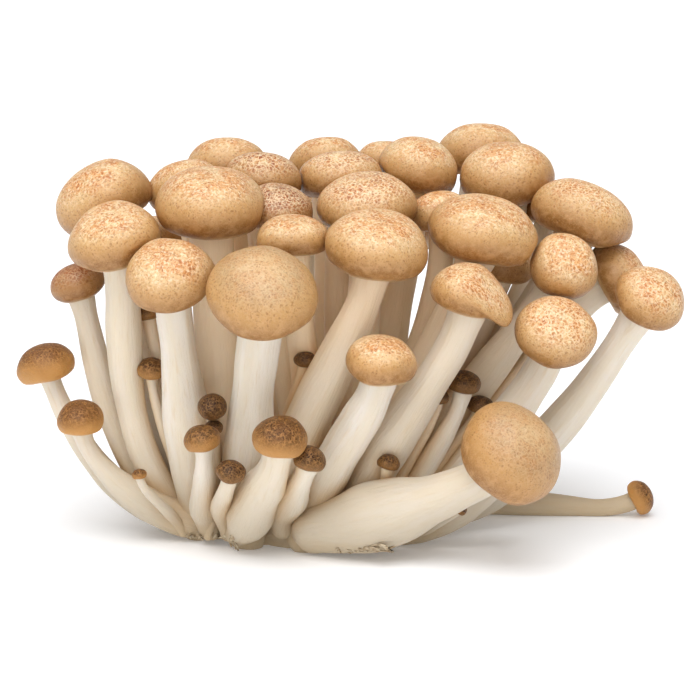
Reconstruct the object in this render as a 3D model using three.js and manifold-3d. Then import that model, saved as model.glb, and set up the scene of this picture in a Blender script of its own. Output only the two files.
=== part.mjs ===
// Beech mushroom cluster: about sixty mushrooms that grow from one root and stand on its flat cut face.
// The stems and the root are one fused solid. Each cap is a solid of its own on the end of its stem.
// Millimetres and degrees, +Z up, the front is -Y, and the origin is the middle of the cut face.
import * as THREE from "three";
import { mergeVertices } from "three/addons/utils/BufferGeometryUtils.js";
import Module from "manifold-3d";

// The side view that the layout was measured in: its height above the horizon, the eye's distance,
// and the point it looks at, right of the origin and up from it.
const VIEW = { rise: 12, distance: 900, right: 3, up: 36 };

// The cap, in shares of its radius: [distance from its axis, height above the middle of its body].
const CAP_OUTLINE = [[0, 0.61], [0.5, 0.52], [0.86, 0.25], [1, -0.1], [0.92, -0.4], [0.68, -0.57]];
const YOUNG_OUTLINE = [[0, 0.66], [0.62, 0.5], [1, -0.08], [0.88, -0.42], [0.66, -0.52]];
const CAP_RISE = 0.6; // half the height of a cap's body
const NECK_HEIGHT = -0.4; // where the gills meet the stem
const SOCKET_DEPTH = 0.2; // how far the socket for the stem goes up from there
const STEM_END = 0.04; // how far below there a stem's middle line ends
const DROOP_SPAN = [0.48, 1.1]; // how far out a drooping side starts to hang and hangs in full
const GILL_RELIEF = 0.07; // how far each second gill stands down, in shares of the radius
const CAP_SIDES = 16;
const YOUNG_SIDES = 9;
const JOINT_GAP = 0.45; // between a stem's end and the socket under its cap
const PRESS_GAP = 0.4; // between two caps that press on each other
const STEM_CLEARANCE = 0.3; // between a cap and another mushroom's stem
const NEIGHBOURHOOD = 90; // mushrooms whose caps are farther apart than this never meet
const SAME_POINT = 1e-4; // points closer than this are one

// The stems.
const STEM_STEPS = 7;
const STEM_SIDES = 8;
const YOUNG_STEM_SIDES = 6;
const FOOT_HEIGHT = 2; // where a stem's middle line starts, inside the root
const FOOT_SPREAD = 0.42; // a foot's distance from the origin, as a share of its cap's
const FOOT_NARROWING = 0.72; // a foot's radius as a share of the stem's widest
const WAIST_AT = 0.25; // how far up a stem is widest, as a share of its length
const SLIM_AT = 0.9; // how far up it has narrowed to its radius at the cap
const FOOT_TIP = [[0, -0.8], [0.7, -0.55]]; // the foot's round end, in shares of its radius
const OUTWARD = 0.6; // how much of its way out a stem's first direction takes
const FOOT_PULL = 0.36; // how far a stem keeps its first direction, as a share of its length
const CAP_PULL = 0.24; // the same for its last direction, which is the cap's axis
const SNUG = 0.95; // neighbouring stems close up to this share of their radii's sum
const GROWTH_PASSES = 60;
const PUSH = 0.35; // share of an overlap that one pass takes away
const MOST_FROM_CAP = 2; // the farthest that one pass moves a stem out of one cap
const EVENING = 0.3; // how much one pass evens a stem's bends
const ABOVE_GROUND = 0.9; // how high a middle line stays, as a share of its stem's radius

// The root.
const ROOT = { right: -3, back: 1, halfWidth: 26, halfDepth: 17, height: 6, sides: 16 };
const ROOT_OUTLINE = [[0, -2], [0.95, -2], [1, 1.5], [0.9, 4.2], [0.55, ROOT.height], [0, ROOT.height]];
const ROOT_LOBES = [[0.05, 3, 0.6], [0.04, 5, 2]]; // [size, number round it, turn in radians]
const SMOOTHING = 0.27; // facets flatter than this are joined
const CUT_BLOCK = 400; // a block larger than the cluster, whose lower face is the cut

// Colours as seen, one for each kind of skin.
const SKINS = {
  tan: { color: 0xdcb583, roughness: 0.55 },
  brown: { color: 0x8f6238, roughness: 0.6 },
  cream: { color: 0xe9e0cf, roughness: 0.5 },
};

// Every mushroom. cap: the middle of its cap, mm right and up in the side view and mm back from
// the origin. r: cap radius. lean: the cap's tilt from upright, and the way it tilts, where 0 is
// right and 90 is back. stem: radius at the cap and at its widest. foot: where it leaves the root,
// right and back, and up where it is high. out: its first direction, where that isn't plainly up
// and outward.
// tall: cap height factor. droop: which way one side of the cap hangs down, and how far as a share
// of its radius. young: a small dark cap with closed gills.
const MUSHROOMS = [
  // The left side, from the outside in.
  { cap: [-46.7, 67.1, 5], r: 10.1, lean: [26, 190], stem: [3.2, 4.4], foot: [-24, 2], out: [-1, 0, 0.45] },
  {
    cap: [-44.4, 59.3, -13], r: 9.4, lean: [18, 225], stem: [3.4, 3],
    foot: [-27, -6], out: [-1, 0, 0.7], tall: 0.93,
  },
  { cap: [-51.6, 49.8, 2], r: 5.5, lean: [14, 190], stem: [2.5, 2.8], foot: [-26, 0], out: [-1, 0, -0.1] },
  { cap: [-33.1, 51.6, -25], r: 8.6, lean: [30, 265], stem: [3.4, 4.7], foot: [-27, -6] },
  { cap: [-24.8, 66, -8], r: 11.3, lean: [8, 270], stem: [4, 4.4], foot: [-23, -4], tall: 0.88 },
  { cap: [-29.8, 69.2, 9], r: 7.8, lean: [12, 150], stem: [3, 3.5] },
  { cap: [-21.8, 73.6, 24], r: 8.1, lean: [12, 110], stem: [3, 3.5] },
  { cap: [-14.4, 70.8, 10], r: 7.8, lean: [8, 60], stem: [3, 3.5] },
  { cap: [-11.2, 64.6, -3], r: 7.1, lean: [10, 330], stem: [3, 3.4] },
  { cap: [-8.4, 59.2, -16], r: 7.2, lean: [4, 270], stem: [3, 3.5], tall: 0.8 },
  { cap: [-14.4, 48.2, -34], r: 10.7, lean: [32, 275], stem: [4.1, 4.8], foot: [-17, -13], tall: 0.92 },
  // The middle, from the back to the front.
  { cap: [10, 74, 33], r: 6.4, lean: [12, 90], stem: [2.6, 3] },
  { cap: [-1.8, 74, 29], r: 7.6, lean: [12, 100], stem: [3, 3.5] },
  { cap: [1.2, 71, 14], r: 8.8, lean: [8, 90], stem: [3.2, 3.8], tall: 0.9 },
  { cap: [16.9, 73.2, 17], r: 8.3, lean: [10, 340], stem: [3.2, 3.8] },
  { cap: [6.4, 65.8, -1], r: 10.1, lean: [6, 270], stem: [3.4, 4], tall: 0.86 },
  { cap: [20.8, 64, 4], r: 6.1, lean: [8, 180], stem: [2.6, 3] },
  { cap: [8.5, 57.6, -19], r: 10.4, lean: [14, 308], stem: [3.6, 5], foot: [-15, -9], tall: 0.86 },
  { cap: [9.4, 34.3, -29], r: 7.1, lean: [10, 325], stem: [3.4, 4.2], foot: [-6, -16], tall: 0.95 },
  // The right side.
  { cap: [29.2, 75.9, 35], r: 9.1, lean: [12, 70], stem: [3.4, 4] },
  { cap: [34.2, 71.6, 17], r: 9.7, lean: [6, 210], stem: [3.6, 4.2] },
  { cap: [29.9, 60.6, -8], r: 10.9, lean: [16, 330], stem: [4, 4.5], foot: [8, -4], tall: 0.86 },
  { cap: [33.4, 54.6, 4], r: 6.8, lean: [15, 330], stem: [3, 3.5] },
  {
    cap: [27.4, 48.4, -22], r: 8.1, lean: [12, 320], stem: [3.6, 4.6],
    foot: [2, -12], tall: 0.84, droop: [340, 0.55],
  },
  { cap: [49.8, 63.6, 7], r: 10.2, lean: [22, 15], stem: [3.8, 4.4], tall: 0.95 },
  { cap: [42.8, 64.4, 21], r: 5.6, lean: [15, 60], stem: [2.4, 3] },
  { cap: [46.1, 53.2, -9], r: 6.7, lean: [45, 290], stem: [3.2, 3.8], foot: [13, -3], tall: 1.25 },
  { cap: [57.4, 50.6, 7], r: 7.8, lean: [62, 0], stem: [3, 3.6], foot: [15, 1] },
  { cap: [63.4, 47, -9], r: 7.4, lean: [36, 320], stem: [3.2, 4.4], foot: [19, 0], out: [1, 0.1, 0.4] },
  { cap: [44.5, 40.2, -18], r: 8, lean: [36, 290], stem: [3.3, 4.2], foot: [16, -5] },
  {
    cap: [36.1, 15.9, -34], r: 10.5, lean: [47, 320], stem: [4, 6.6],
    foot: [-4, -19, 5], out: [1, -0.25, 0.38], tall: 1.05,
  },
  // Young ones round the front.
  {
    cap: [-58, 33.4, -1], r: 6.1, lean: [17, 185], stem: [1.9, 3],
    foot: [-27, 0], out: [-1, 0, -0.05], tall: 0.94, young: 1,
  },
  {
    cap: [-51, 22.6, -11], r: 4.7, lean: [14, 250], stem: [1.9, 3.7],
    foot: [-20, -6], out: [-1, -0.1, 0.15], young: 1,
  },
  { cap: [-36.8, 32.4, -9], r: 3, lean: [10, 270], stem: [1, 1.4], foot: [-29, -6], young: 1 },
  { cap: [-37.6, 43.8, -6], r: 2.7, lean: [10, 200], stem: [1.4, 1.8], foot: [-26, -3], young: 1 },
  {
    cap: [-24.6, 24.8, -23], r: 2.8, lean: [45, 270], stem: [1.3, 1.6],
    foot: [-24, -12], tall: 1.2, young: 1,
  },
  { cap: [-24.3, 20.6, -22], r: 1.9, lean: [20, 270], stem: [0.9, 1.2], foot: [-25, -13], young: 1 },
  { cap: [-26.6, 18.4, -28], r: 3.7, lean: [12, 225], stem: [1.9, 2.6], foot: [-25, -11, 2.5], young: 1 },
  { cap: [-20.8, 11.8, -32], r: 2.9, lean: [20, 300], stem: [1.5, 2.1], foot: [-21, -13, 2.5], young: 1 },
  { cap: [-11, 18.8, -36], r: 5.3, lean: [18, 290], stem: [3, 4.8], foot: [-18.5, -14, 3.5], young: 1 },
  { cap: [-5, 14.4, -33], r: 3.3, lean: [22, 320], stem: [2.1, 3.4], foot: [-10, -15.5, 4.5], young: 1 },
  { cap: [-39.2, 11.2, -18], r: 1.5, lean: [10, 200], stem: [0.8, 1.2], foot: [-30, -10], young: 1 },
  { cap: [-6, 34.2, -14], r: 2.2, lean: [12, 300], stem: [1.2, 2], foot: [-13, -3], young: 1 },
  { cap: [25.9, 29.6, -12], r: 3.4, lean: [8, 0], stem: [1.8, 2.4], foot: [12, -8], young: 1 },
  { cap: [20.6, 26.8, -13], r: 2.3, lean: [10, 0], stem: [1.2, 1.8], foot: [9, -9], young: 1 },
  { cap: [29.2, 25, -7], r: 2.8, lean: [15, 0], stem: [1.3, 1.8], foot: [14, -6], young: 1 },
  { cap: [10.8, 13.6, -21], r: 2.3, lean: [15, 0], stem: [1.2, 2], foot: [7, -13.5], young: 1 },
  {
    cap: [25.2, 4.4, -22], r: 1.5, lean: [50, 335], stem: [0.9, 1.4],
    foot: [11, -12], out: [1, -0.2, 0.15], young: 1,
  },
  {
    cap: [37, 12, -18], r: 4.4, lean: [55, 340], stem: [2.1, 3],
    foot: [13, -11.5], out: [1, -0.1, 0.15], young: 1,
  },
  // One that lies along the surface to the right.
  {
    cap: [61.2, 6.6, 12], r: 3.6, lean: [64, 0], stem: [1.7, 3.1],
    foot: [16, 13], out: [1, 0.1, -0.02], young: 1,
  },
  // The far side.
  { cap: [-37, 58, 21], r: 7.6, lean: [24, 130], stem: [3, 3.6], foot: [-21, 10] },
  { cap: [-24, 57, 33], r: 8, lean: [26, 110], stem: [3.2, 3.8], foot: [-14, 14] },
  { cap: [-7, 62, 41], r: 8.4, lean: [22, 95], stem: [3.2, 3.8], foot: [-4, 16.5] },
  { cap: [13, 61, 46], r: 8.2, lean: [24, 85], stem: [3.2, 3.8], foot: [6, 16.5] },
  { cap: [33, 58, 46], r: 7.8, lean: [28, 70], stem: [3, 3.6], foot: [13, 13] },
  { cap: [46, 50, 27], r: 7, lean: [34, 45], stem: [3, 3.6], foot: [18, 8] },
  { cap: [-12, 36, 40], r: 4.6, lean: [24, 100], stem: [2, 2.6], young: 1 },
];

const wasm = await Module();
wasm.setup();

const radians = THREE.MathUtils.degToRad;
const { smoothstep, lerp } = THREE.MathUtils;

// The point that shows this far right and up in the side view, at this distance back.
function fromView([right, up, back]) {
  const sin = Math.sin(radians(VIEW.rise));
  const cos = Math.cos(radians(VIEW.rise));
  const eye = new THREE.Vector3(
    VIEW.right,
    VIEW.up * sin - VIEW.distance * cos,
    VIEW.up * cos + VIEW.distance * sin,
  );
  const shown = new THREE.Vector3(right, up * sin, up * cos);
  return eye.clone().lerp(shown, (back - eye.y) / (shown.y - eye.y));
}

// The unit vector tilted this far from upright towards a compass direction.
function tilted([tilt, toward]) {
  const across = Math.sin(radians(tilt));
  return new THREE.Vector3(
    across * Math.cos(radians(toward)),
    across * Math.sin(radians(toward)),
    Math.cos(radians(tilt)),
  );
}

// A closed geometry as a solid.
function solidOf(geometry) {
  const bare = geometry.clone();
  bare.deleteAttribute("normal");
  bare.deleteAttribute("uv");
  const merged = mergeVertices(bare, SAME_POINT);
  return new wasm.Manifold(
    new wasm.Mesh({
      numProp: 3,
      vertProperties: merged.attributes.position.array,
      triVerts: new Uint32Array(merged.index.array),
    }),
  );
}

// A solid as a geometry with flat faces.
function geometryOf(solid) {
  const mesh = solid.getMesh();
  const geometry = new THREE.BufferGeometry();
  const positions = new Float32Array(mesh.numVert * 3);
  for (let i = 0; i < mesh.numVert; i++) {
    positions.set(mesh.vertProperties.subarray(i * mesh.numProp, i * mesh.numProp + 3), i * 3);
  }
  geometry.setAttribute("position", new THREE.BufferAttribute(positions, 3));
  geometry.setIndex(new THREE.BufferAttribute(mesh.triVerts, 1));
  const flat = geometry.toNonIndexed();
  flat.computeVertexNormals();
  return flat;
}

// Moves every vertex of a geometry by a function of its position.
function reshape(geometry, move) {
  const position = geometry.attributes.position;
  const point = new THREE.Vector3();
  for (let i = 0; i < position.count; i++) {
    point.fromBufferAttribute(position, i);
    const moved = move(point);
    position.setXYZ(i, moved.x, moved.y, moved.z);
  }
  return geometry;
}

// Growth: the stems' middle lines, and how neighbours make room

// A mushroom with its cap placed and the middle line of its stem drawn from foot to cap.
function grown(row) {
  const middle = fromView(row.cap);
  const axis = tilted(row.lean);
  const tall = row.tall ?? 1;
  const [right, back, up] = row.foot ?? [middle.x * FOOT_SPREAD, middle.y * FOOT_SPREAD];
  const foot = new THREE.Vector3(right, back, up ?? FOOT_HEIGHT);
  const end = middle.clone().addScaledVector(axis, (NECK_HEIGHT * tall - STEM_END) * row.r);
  const outward = end.clone().sub(foot).setZ(0).multiplyScalar(OUTWARD);
  const plain = new THREE.Vector3(outward.x, outward.y, Math.max(end.z - foot.z, 1));
  const out = (row.out ? new THREE.Vector3(...row.out) : plain).normalize();
  const length = end.distanceTo(foot);
  const curve = new THREE.CubicBezierCurve3(
    foot,
    foot.clone().addScaledVector(out, length * FOOT_PULL),
    end.clone().addScaledVector(axis, -length * CAP_PULL),
    end,
  );
  const line = curve.getSpacedPoints(STEM_STEPS);
  const radii = line.map((_, i) => stemRadius(row.stem, i / STEM_STEPS));
  return { ...row, middle, axis, tall, line, radii };
}

// A stem's radius at a share of its length.
function stemRadius([atCap, widest], share) {
  const narrowing = lerp(FOOT_NARROWING, 1, smoothstep(share, 0, WAIST_AT));
  return lerp(widest, atCap, smoothstep(share, WAIST_AT, SLIM_AT)) * narrowing;
}

// The nearest point to p on the segment from a to b.
function nearestOn(p, a, b) {
  const along = b.clone().sub(a);
  const share = THREE.MathUtils.clamp(p.clone().sub(a).dot(along) / along.lengthSq(), 0, 1);
  return { point: a.clone().addScaledVector(along, share), share };
}

// How far a stem's point has to move to leave another stem.
function awayFromStem(point, radius, other) {
  let least = Infinity;
  let move = new THREE.Vector3();
  for (let i = 0; i < STEM_STEPS; i++) {
    const near = nearestOn(point, other.line[i], other.line[i + 1]);
    const wanted = (radius + lerp(other.radii[i], other.radii[i + 1], near.share)) * SNUG;
    const gap = point.distanceTo(near.point);
    if (gap < wanted && gap - wanted < least) {
      least = gap - wanted;
      move = point.clone().sub(near.point).setLength((wanted - gap) / 2);
    }
  }
  return move;
}

// How far a stem's point has to move to leave another mushroom's cap.
function awayFromCap(point, radius, other) {
  const local = point.clone().sub(other.middle);
  const up = local.dot(other.axis);
  const across = local.clone().addScaledVector(other.axis, -up);
  const wide = other.r + radius;
  const high = CAP_RISE * other.r * other.tall + radius;
  const depth = Math.hypot(across.length() / wide, up / high);
  if (depth >= 1) return new THREE.Vector3();
  const slope = across.multiplyScalar(1 / wide ** 2).addScaledVector(other.axis, up / high ** 2);
  return slope.setLength(Math.min((1 - depth) * high, MOST_FROM_CAP));
}

// Stems bend clear of one another and of other caps. Feet and caps stay where they are.
function makeRoom(mushrooms) {
  const drawn = mushrooms.map((m) => m.line.map((p) => p.clone()));
  for (let pass = 0; pass < GROWTH_PASSES; pass++) {
    const moved = mushrooms.map((m, i) => {
      const shifts = m.line.map((p, k) => {
        const shift = p.clone().sub(drawn[i][k]);
        if (k === 0 || k === STEM_STEPS || p.z < ROOT.height) return shift;
        mushrooms.forEach((other, j) => {
          if (j === i) return;
          shift.addScaledVector(awayFromStem(p, m.radii[k], other), PUSH);
          shift.addScaledVector(awayFromCap(p, m.radii[k], other), PUSH);
        });
        return shift;
      });
      return shifts.map((shift, k) => {
        if (k === 0 || k === STEM_STEPS) return new THREE.Vector3();
        const between = shifts[k - 1].clone().add(shifts[k + 1]).multiplyScalar(0.5);
        return shift.lerp(between, EVENING);
      });
    });
    mushrooms.forEach((m, i) => m.line.forEach((p, k) => p.copy(drawn[i][k]).add(moved[i][k])));
  }
  for (const m of mushrooms) {
    for (let k = 1; k < STEM_STEPS; k++) m.line[k].z = Math.max(m.line[k].z, m.radii[k] * ABOVE_GROUND);
  }
  return mushrooms;
}

// The stems' and the root's flesh

// Turns a straight turned shape, whose height is the step number, along a mushroom's middle line.
function alongStem(geometry, m) {
  const frames = [];
  let side = new THREE.Vector3(1, 0, 0);
  m.line.forEach((p, k) => {
    const from = m.line[Math.max(k - 1, 0)];
    const to = m.line[Math.min(k + 1, STEM_STEPS)];
    const along = k === STEM_STEPS ? m.axis.clone() : to.clone().sub(from).normalize();
    side = side.clone().addScaledVector(along, -side.dot(along)).normalize();
    frames.push({ p, along, side, other: along.clone().cross(side) });
  });
  return reshape(geometry, (v) => {
    const step = THREE.MathUtils.clamp(Math.round(v.y), 0, STEM_STEPS);
    const { p, along, side: s, other } = frames[step];
    const beyond = v.y > STEM_STEPS ? SOCKET_DEPTH * m.r : Math.min(v.y, 0) * m.radii[0];
    return p.clone().addScaledVector(along, beyond).addScaledVector(s, v.z).addScaledVector(other, v.x);
  });
}

// One stem as a solid, grown by a margin all round.
function stemSolid(m, margin = 0) {
  const outline = FOOT_TIP.map(([r, z]) => new THREE.Vector2(m.radii[0] * r, z));
  m.radii.forEach((radius, k) => outline.push(new THREE.Vector2(radius + margin, k)));
  outline.push(new THREE.Vector2(0, STEM_STEPS + 1));
  const sides = m.young ? YOUNG_STEM_SIDES : STEM_SIDES;
  return solidOf(alongStem(new THREE.LatheGeometry(outline, sides), m));
}

// The root: a low lump that the feet grow out of.
function rootSolid() {
  const outline = ROOT_OUTLINE.map(([r, z]) => new THREE.Vector2(r, z));
  const lump = new THREE.LatheGeometry(outline, ROOT.sides);
  return solidOf(
    reshape(lump, (v) => {
      const angle = Math.atan2(v.x, v.z);
      const lobe = ROOT_LOBES.reduce(
        (sum, [size, count, turn]) => sum + size * Math.sin(count * angle + turn),
        1,
      );
      return new THREE.Vector3(
        ROOT.right + v.z * ROOT.halfWidth * lobe,
        ROOT.back + v.x * ROOT.halfDepth * lobe,
        v.y,
      );
    }),
  );
}

// Stems and root fused, and cut flat at the surface that the cluster stands on.
function stemCluster(mushrooms) {
  const block = new THREE.BoxGeometry(CUT_BLOCK, CUT_BLOCK, CUT_BLOCK).translate(0, 0, CUT_BLOCK / 2);
  const fused = mushrooms.reduce((sum, m) => sum.add(stemSolid(m)), rootSolid());
  return fused.intersect(solidOf(block)).simplify(SMOOTHING);
}

// The caps' flesh

// The extent of a cap's body along a direction, as an ellipsoid.
function reach(m, direction) {
  const up = direction.dot(m.axis);
  const high = CAP_RISE * m.r * m.tall;
  return Math.sqrt((1 - up * up) * m.r ** 2 + (up * high) ** 2);
}

// The shape matrix of that ellipsoid.
function bodyMatrix(m) {
  const wide = m.r ** 2;
  const extra = (CAP_RISE * m.r * m.tall) ** 2 - wide;
  const { x, y, z } = m.axis;
  return new THREE.Matrix3(
    wide + extra * x * x, extra * x * y, extra * x * z,
    extra * x * y, wide + extra * y * y, extra * y * z,
    extra * x * z, extra * y * z, wide + extra * z * z,
  );
}

// The plane where two caps press on each other, or null where they are clear.
function pressPlane(m, other) {
  const apart = other.middle.clone().sub(m.middle);
  const sum = bodyMatrix(m);
  bodyMatrix(other).elements.forEach((value, i) => (sum.elements[i] += value));
  const normal = apart.clone().applyMatrix3(sum.invert()).normalize();
  const mine = reach(m, normal);
  const theirs = reach(other, normal);
  const distance = apart.dot(normal);
  if (mine + theirs + PRESS_GAP < distance) return null;
  const at = (distance * mine) / (mine + theirs) - PRESS_GAP / 2;
  return { normal, level: m.middle.dot(normal) + at };
}

// A cap: a turned bun with a rolled-in edge and ribbed gills, pressed flat against its neighbours.
function capSolid(m, mushrooms) {
  const neck = m.radii[STEM_STEPS] + JOINT_GAP;
  const outline = (m.young ? YOUNG_OUTLINE : CAP_OUTLINE).map(([r, z]) => [r * m.r, z * m.r * m.tall]);
  outline.push([neck, NECK_HEIGHT * m.r * m.tall]);
  outline.push([0, NECK_HEIGHT * m.r * m.tall + SOCKET_DEPTH * m.r + JOINT_GAP]);
  const sides = m.young ? YOUNG_SIDES : CAP_SIDES;
  const points = outline.reverse().map(([r, z]) => new THREE.Vector2(r, z));
  const upright = new THREE.Quaternion().setFromUnitVectors(new THREE.Vector3(0, 1, 0), m.axis);
  const planes = mushrooms.filter((o) => o !== m).map((o) => pressPlane(m, o)).filter(Boolean);
  const bun = reshape(new THREE.LatheGeometry(points, sides), (v) => {
    const step = Math.round((Math.atan2(v.x, v.z) * sides) / (2 * Math.PI));
    const isNeck = Math.abs(Math.hypot(v.x, v.z) - neck) < 10 * SAME_POINT && v.y < 0;
    const drop = isNeck && !m.young && step % 2 ? -GILL_RELIEF * m.r : 0;
    const placed = new THREE.Vector3(v.x, v.y + drop, v.z).applyQuaternion(upright);
    if (m.droop) {
      const [toward, share] = m.droop;
      const side = placed.x * Math.cos(radians(toward)) + placed.y * Math.sin(radians(toward));
      placed.z -= share * m.r * smoothstep(side / m.r, ...DROOP_SPAN);
    }
    placed.add(m.middle);
    for (const { normal, level } of planes) {
      placed.addScaledVector(normal, -Math.max(placed.dot(normal) - level, 0));
    }
    return placed;
  });
  return solidOf(bun);
}

// The whole cluster

const mushrooms = makeRoom(MUSHROOMS.map(grown));
const cluster = new THREE.Group();

function addPiece(name, solid, skin) {
  const material = new THREE.MeshStandardMaterial({ ...SKINS[skin], metalness: 0 });
  const mesh = new THREE.Mesh(geometryOf(solid), material);
  mesh.name = name;
  cluster.add(mesh);
}

addPiece("stems", stemCluster(mushrooms), "cream");

mushrooms.forEach((m, i) => {
  const others = mushrooms.filter((o) => o !== m && o.middle.distanceTo(m.middle) < NEIGHBOURHOOD);
  let cap = capSolid(m, others);
  for (const other of others) {
    const clearance = stemSolid(other, STEM_CLEARANCE);
    if (cap.intersect(clearance).volume() > 0) cap = cap.subtract(clearance);
  }
  addPiece(`cap_${String(i + 1).padStart(2, "0")}`, cap, m.young ? "brown" : "tan");
});

export default cluster;
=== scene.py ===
"""Looks of the beech mushroom cluster: finer caps with gills, one fused body of stems, scraps of dry
skin at the foot, materials, light and camera.

The layout and the growth rules are those of the part's source, in millimetres until a mesh is made.
"""

import math

import bpy
import numpy as np
from mathutils import Matrix, Vector
from mathutils.bvhtree import BVHTree


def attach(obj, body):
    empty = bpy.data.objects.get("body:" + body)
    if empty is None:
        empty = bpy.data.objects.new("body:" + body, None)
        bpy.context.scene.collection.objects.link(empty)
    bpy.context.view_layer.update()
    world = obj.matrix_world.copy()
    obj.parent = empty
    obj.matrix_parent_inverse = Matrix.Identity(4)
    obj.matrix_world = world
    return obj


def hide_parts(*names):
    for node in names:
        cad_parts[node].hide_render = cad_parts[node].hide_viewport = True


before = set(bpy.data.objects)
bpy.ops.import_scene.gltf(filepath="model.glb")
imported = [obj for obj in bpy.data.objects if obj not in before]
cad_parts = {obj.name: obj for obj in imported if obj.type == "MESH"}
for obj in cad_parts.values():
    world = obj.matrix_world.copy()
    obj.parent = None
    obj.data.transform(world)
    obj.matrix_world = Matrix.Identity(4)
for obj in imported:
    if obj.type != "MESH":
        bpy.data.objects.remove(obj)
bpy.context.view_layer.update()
MM = 0.001

# The side view that the layout was measured in: its height above the horizon, the eye's distance,
# the point it looks at, right of the origin and up, and how wide a stretch it takes in there.
RISE = math.radians(12)
DISTANCE = 900
LOOK_RIGHT = 3
LOOK_UP = 36
VIEW_WIDTH = 140

# Growth: names and values as in the part's source, which says what each is. ROOT has the root's there.
CAP_RISE = 0.6
NECK_HEIGHT = -0.4
STEM_END = 0.04
DROOP_SPAN = (0.48, 1.1)
STEM_STEPS = 7
FOOT_HEIGHT = 2
FOOT_SPREAD = 0.42
FOOT_NARROWING = 0.72
WAIST_AT = 0.25
SLIM_AT = 0.9
OUTWARD = 0.6
FOOT_PULL = 0.36
CAP_PULL = 0.24
SNUG = 0.95
GROWTH_PASSES = 60
PUSH = 0.35
MOST_FROM_CAP = 2
EVENING = 0.3
ABOVE_GROUND = 0.9
TINY = 1e-12  # added to a direction that can be nothing, so that it has a length
ROOT_RIGHT = -3
ROOT_BACK = 1
ROOT_WIDE = 26
ROOT_DEEP = 17
ROOT_HEIGHT = 6

# Finer than in the part's source.
PRESS_GAP = 0.12  # between two caps that press on each other
PRESS_SOFTNESS = 0.22  # how rounded the rim of a pressed face is
STEM_GAP = 0.15  # between a cap and another mushroom's stem
STEM_NEAR = 14  # a stem farther than this from a cap's edge leaves no dent in it
FOOT_CROWDING = 1.2  # a stem's cross-sections stand closer together towards its foot

# The cap, in shares of its radius: distance from its axis, height above the middle of its body.
CAP_OUTLINE = [(0, 0.61), (0.5, 0.53), (0.86, 0.25), (1, -0.1), (0.93, -0.4), (0.74, -0.56)]
YOUNG_OUTLINE = [
    (0, 0.66), (0.34, 0.62), (0.68, 0.46), (0.93, 0.16), (1, -0.12), (0.9, -0.42), (0.7, -0.54),
]
GILL_PLACES = (0.05, 0.12, 0.3, 0.55, 0.8, 1)  # rings under the cap, from its lip to its neck
LIP_ROLL = 0.05  # how far in from the lip the gills start
GILL_DOWN = -0.045  # how far each second gill stands down
GILL_UP = 0.03  # how far the furrows between them go up
# Slow waves, in shares of the radius: size, number round the cap, which of its random turns.
CAP_SWELLS = ((0.024, 2, 0), (0.015, 3, 1), (0.007, 7, 5))
CAP_LIFTS = ((0.038, 2, 2), (0.026, 3, 3), (0.012, 5, 4))
CAP_TILT = 0.04  # how far a crown leans to one side
EDGE_FROM = 0.45  # how far out the lifts start
NECK_FIT = 0.96  # the gills end this share of the stem's radius from its middle line
SHORT_GILL = (0.48, 0.62)  # where a short gill starts to fade in, and stands in full
GILL_ROOT = (1.02, 1.25)  # where the gills rise from the neck, in shares of its radius
LIP_FADE = (0.03, 0.12)  # how far in from the lip they start, and stand in full
CAP_DETAIL = ((6, 96, 27), (4, 72, 27), (0, 48, 20))  # for radii above this: sides, rings

# Stems, in shares of their radius. Flutes: depth, number round the stem, random turn, twist.
FLUTES = ((0.03, 2, 0, 1.5), (0.022, 3, 1, -2), (0.012, 7, 2, 1))
STEM_SWELLS = ((0.05, 8, 3), (0.03, 15, 4), (0.012, 31, 2))  # size, waves along it, random turn
LOPSIDED = 0.03  # how far a stem swells to one side, in a long spiral
SPIRAL = 9  # how far that turns on its way up, in radians
FOOT_RINGS = ((0.85, 0.45), (0.55, 0.8), (0.25, 0.96))  # the round foot: how far down, how wide
FLARE = 0.1  # how much a stem widens under its cap
STEM_TIP = (0.12, 0.15)  # the end inside the cap, in shares of the cap's radius past the line's end
STEM_DETAIL = ((54, 30), (34, 18))  # cross-sections and sides, of a grown stem and of a young one
FIBRE_STRETCH = 0.09  # the fibre pattern's scale along a stem, where it is 1 across it
ROOT_GRAIN = 0.6  # its scale on the root, where it runs no way
CREVICE = (-0.3, 3.6)  # how near a second stem is where the painted shade between stems is deepest, and where it ends
CLEAR = 9.0  # any distance beyond that
PAST_STEM = 4  # how far past its cap's radius a stem still makes crevices

# The root: its outline, in shares of its width and in millimetres up, and its waves round and over.
ROOT_OUTLINE = [
    (0, -2), (0.5, -2), (0.84, -1.2), (0.93, 1.8), (0.86, 4.2), (0.5, ROOT_HEIGHT), (0.001, ROOT_HEIGHT),
]
ROOT_LOBES = ((0.05, 3, 0.6), (0.04, 5, 2), (0.012, 17, 0))  # size, number round it, turn
ROOT_LUMPS = ((1.2, 5, 9), (0.9, 6, 3.6), (0.25, 7, 1.6))  # height, seed, length
ROOT_SIDES = 120
BLOCK = 300  # a block larger than the cluster, whose lower face is the cut
SHARP_ANGLE = 48  # an edge sharper than this isn't shaded as if round, in degrees

GROWTH_SEED = 41
SCRAPS_SEED = 9

# How wide and deep the bunch is at some levels, from its middle line.
BUNCH_LEVELS = (0, 10, 30, 60)
BUNCH_WIDE = (30, 36, 46, 56)
BUNCH_DEEP = (22, 26, 30, 36)

# The floor in millimetres, the world's light, the lamps in metres, and the camera's film in millimetres.
FLOOR_REACH = 3000
FLOOR_LEVEL = -0.05
WORLD_STRENGTH = 0.46
LAMP_DISTANCE = 0.8
LAMP_AIM = 0.04
SENSOR = 36
BUNCH_RIGHT = -2
BUNCH_BACK = 2
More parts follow.
